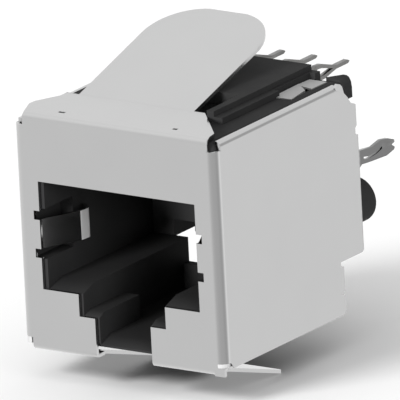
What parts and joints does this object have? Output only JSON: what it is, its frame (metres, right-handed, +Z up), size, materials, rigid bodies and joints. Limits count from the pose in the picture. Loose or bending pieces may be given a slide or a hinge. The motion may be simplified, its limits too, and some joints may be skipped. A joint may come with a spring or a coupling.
{
  "type": "rj45 board jack",
  "caption": "Shielded RJ45 board jack: folded metal shield with spring tongues around a black housing, contacts with press-fit tails and two locating pegs at the back.",
  "frame": {"origin": "on the board's face, half-way between the two locating pegs", "axes": "+Y from the opening towards the board, +Z up (towards the wide top tongue), +X to the right seen from the opening"},
  "size_m": [0.016, 0.021, 0.0214],
  "materials": {
    "shield_metal": "satin nickel-plated sheet",
    "black_plastic": "matte moulded black",
    "contact_metal": "tin-plated phosphor bronze, gold-plated spring ends"
  },
  "bodies": {
    "root": {"shield": "shield_metal", "housing": "black_plastic", "contact_carrier": "black_plastic", "ground_clip_left": "shield_metal", "ground_clip_right": "shield_metal", "contact_1": "contact_metal", "contact_2": "contact_metal", "contact_3": "contact_metal", "contact_4": "contact_metal", "contact_5": "contact_metal", "contact_6": "contact_metal", "contact_7": "contact_metal", "contact_8": "contact_metal"}
  },
  "joints": []
}
